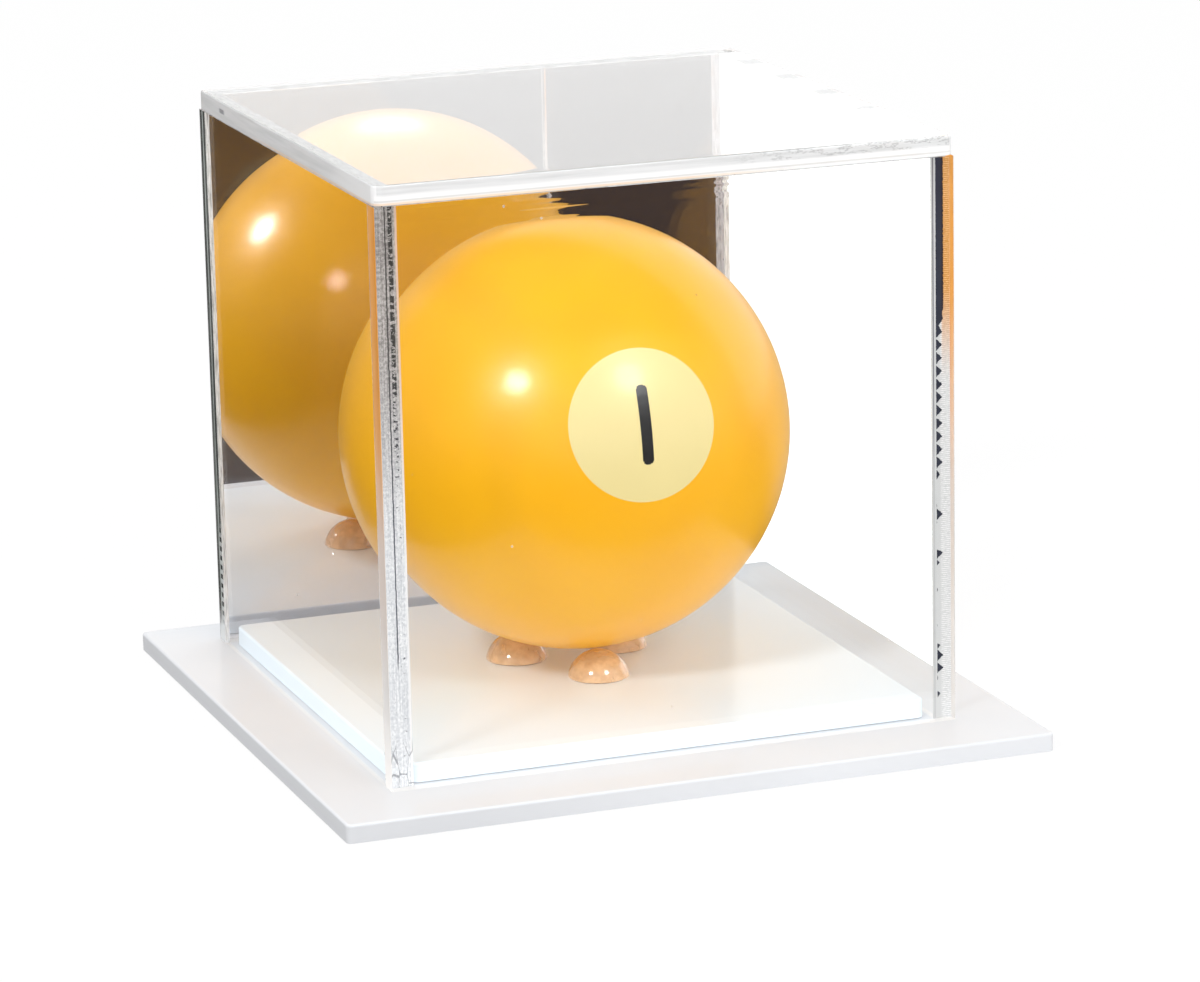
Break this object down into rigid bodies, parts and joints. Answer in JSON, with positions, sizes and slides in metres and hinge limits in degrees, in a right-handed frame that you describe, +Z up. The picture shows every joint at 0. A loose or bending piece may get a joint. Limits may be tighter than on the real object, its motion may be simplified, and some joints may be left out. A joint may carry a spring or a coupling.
{
  "type": "ball display case",
  "caption": "Square display case for one pool ball: white base with raised plate, clear ball rests, and a lift-off clear cover with a mirror back.",
  "frame": {"origin": "middle of the base plate's underside", "axes": "+X to the right along the front, +Y from the front panel to the mirror, +Z up"},
  "size_m": [0.0944, 0.0944, 0.0786],
  "materials": {
    "white_acrylic": "polished white acrylic",
    "clear_acrylic": "clear polished acrylic sheet",
    "clear_rest": "clear soft polyurethane",
    "rest_adhesive": "clear adhesive",
    "cured_cement": "clear, with streaks and small bubbles",
    "silvering": "polished silver film",
    "backing_paint": "flat grey paint",
    "ball_yellow": "polished phenolic resin",
    "disc_cream": "polished phenolic resin",
    "figure_black": "polished phenolic resin"
  },
  "bodies": {
    "base": {"base_plate": "white_acrylic", "riser_cement": "cured_cement", "riser_plate": "white_acrylic", "rest_adhesive_front": "rest_adhesive", "rest_adhesive_back_right": "rest_adhesive", "rest_adhesive_back_left": "rest_adhesive", "rest_front": "clear_rest", "rest_back_right": "clear_rest", "rest_back_left": "clear_rest"},
    "cover": {"cover_front_panel": "clear_acrylic", "cover_left_panel": "clear_acrylic", "cover_right_panel": "clear_acrylic", "cover_top_panel": "clear_acrylic", "mirror_sheet": "clear_acrylic", "mirror_silvering": "silvering", "mirror_backing": "backing_paint", "seam_front_left": "cured_cement", "seam_front_right": "cured_cement", "seam_back_left": "cured_cement", "seam_back_right": "cured_cement", "seam_top_front": "cured_cement", "seam_top_left": "cured_cement", "seam_top_right": "cured_cement", "seam_top_back": "cured_cement"},
    "ball": {"ball_body": "ball_yellow", "number_disc_front": "disc_cream", "number_disc_back": "disc_cream", "numeral_front": "figure_black", "numeral_back": "figure_black"}
  },
  "joints": [
    {"name": "cover_lift", "type": "slide", "parent": "base", "child": "cover", "axis": [0, 0, 1], "range_m": [0, 0.09]},
    {"name": "ball_turn", "type": "hinge", "parent": "base", "child": "ball", "pos_m": [0, 0.0017, 0.03626], "axis": [0, 0, 1], "continuous": true}
  ]
}
